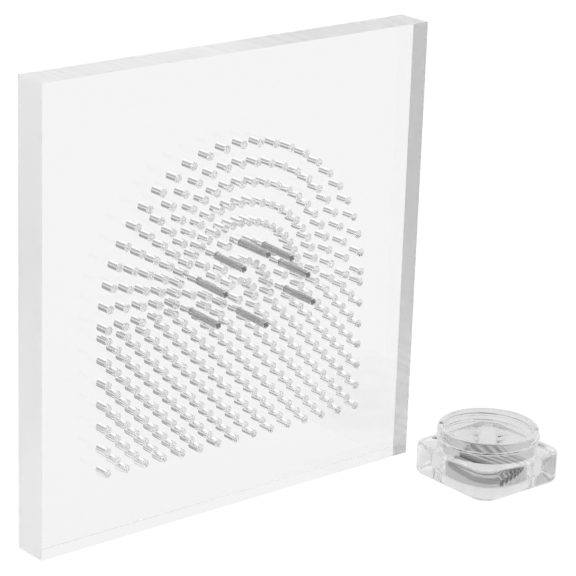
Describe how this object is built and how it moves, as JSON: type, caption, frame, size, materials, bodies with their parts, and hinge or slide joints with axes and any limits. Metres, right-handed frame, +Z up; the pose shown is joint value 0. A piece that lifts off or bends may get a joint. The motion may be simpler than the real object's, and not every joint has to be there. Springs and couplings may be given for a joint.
{
  "type": "pin art impression toy",
  "caption": "Clear acrylic block drilled with an arch-shaped field of blind holes, with steel pins to stand in them for raised pin pictures, and an open screw-neck jar for the spare pins.",
  "frame": {"origin": "centre of the acrylic block's bottom face, at the level that the block and the jar stand on", "axes": "+Z up, +Y from the drilled front face towards the back face, +X to the right as seen from the front, towards the jar"},
  "size_m": [0.1797, 0.0618, 0.1524],
  "materials": {
    "clear_acrylic": "polished clear cast acrylic with sawn satin edges",
    "clear_jar_plastic": "moulded clear polystyrene, glossy",
    "ground_steel": "ground steel rod with chamfered ends"
  },
  "bodies": {
    "block": {"acrylic_block": "clear_acrylic"},
    "display_pin_1": {"display_pin_1": "ground_steel"},
    "display_pin_2": {"display_pin_2": "ground_steel"},
    "display_pin_3": {"display_pin_3": "ground_steel"},
    "display_pin_4": {"display_pin_4": "ground_steel"},
    "display_pin_5": {"display_pin_5": "ground_steel"},
    "display_pin_6": {"display_pin_6": "ground_steel"},
    "display_pin_7": {"display_pin_7": "ground_steel"},
    "display_pin_8": {"display_pin_8": "ground_steel"},
    "jar": {"pin_jar": "clear_jar_plastic", "spare_pin_lower_3": "ground_steel", "spare_pin_lower_4": "ground_steel", "spare_pin_lower_5": "ground_steel", "spare_pin_lower_6": "ground_steel", "spare_pin_lower_7": "ground_steel", "spare_pin_lower_8": "ground_steel"},
    "spare_pin_lower_1": {"spare_pin_lower_1": "ground_steel"},
    "spare_pin_lower_2": {"spare_pin_lower_2": "ground_steel"},
    "spare_pin_upper_1": {"spare_pin_upper_1": "ground_steel"},
    "spare_pin_upper_2": {"spare_pin_upper_2": "ground_steel"},
    "spare_pin_upper_3": {"spare_pin_upper_3": "ground_steel"},
    "spare_pin_upper_4": {"spare_pin_upper_4": "ground_steel"},
    "spare_pin_upper_5": {"spare_pin_upper_5": "ground_steel"}
  },
  "joints": [
    {"name": "display_pin_1_slide", "type": "slide", "parent": "block", "child": "display_pin_1", "axis": [0, -0.999, -0.0454], "range_m": [0, 0.03]},
    {"name": "display_pin_2_slide", "type": "slide", "parent": "block", "child": "display_pin_2", "axis": [0, -0.999, -0.0454], "range_m": [0, 0.03]},
    {"name": "display_pin_3_slide", "type": "slide", "parent": "block", "child": "display_pin_3", "axis": [0, -0.999, -0.0454], "range_m": [0, 0.03]},
    {"name": "display_pin_4_slide", "type": "slide", "parent": "block", "child": "display_pin_4", "axis": [0, -0.9997, -0.0227], "range_m": [0, 0.03]},
    {"name": "display_pin_5_slide", "type": "slide", "parent": "block", "child": "display_pin_5", "axis": [0, -0.9992, -0.0401], "range_m": [0, 0.03]},
    {"name": "display_pin_6_slide", "type": "slide", "parent": "block", "child": "display_pin_6", "axis": [0, -0.9995, -0.0314], "range_m": [0, 0.03]},
    {"name": "display_pin_7_slide", "type": "slide", "parent": "block", "child": "display_pin_7", "axis": [0, -0.9996, -0.0279], "range_m": [0, 0.03]},
    {"name": "display_pin_8_slide", "type": "slide", "parent": "block", "child": "display_pin_8", "axis": [0, -0.999, -0.0454], "range_m": [0, 0.03]},
    {"name": "jar_lift", "type": "slide", "parent": "block", "child": "jar", "axis": [0, 0, 1], "range_m": [0, 0.06]},
    {"name": "spare_pin_lower_1_lift", "type": "slide", "parent": "jar", "child": "spare_pin_lower_1", "axis": [0, 0, 1], "range_m": [0, 0.03]},
    {"name": "spare_pin_lower_2_lift", "type": "slide", "parent": "jar", "child": "spare_pin_lower_2", "axis": [0, 0, 1], "range_m": [0, 0.03]},
    {"name": "spare_pin_upper_1_lift", "type": "slide", "parent": "jar", "child": "spare_pin_upper_1", "axis": [0, 0, 1], "range_m": [0, 0.03]},
    {"name": "spare_pin_upper_2_lift", "type": "slide", "parent": "jar", "child": "spare_pin_upper_2", "axis": [0, 0, 1], "range_m": [0, 0.03]},
    {"name": "spare_pin_upper_3_lift", "type": "slide", "parent": "jar", "child": "spare_pin_upper_3", "axis": [0, 0, 1], "range_m": [0, 0.03]},
    {"name": "spare_pin_upper_4_lift", "type": "slide", "parent": "jar", "child": "spare_pin_upper_4", "axis": [0, 0, 1], "range_m": [0, 0.03]},
    {"name": "spare_pin_upper_5_lift", "type": "slide", "parent": "jar", "child": "spare_pin_upper_5", "axis": [0, 0, 1], "range_m": [0, 0.03]}
  ]
}
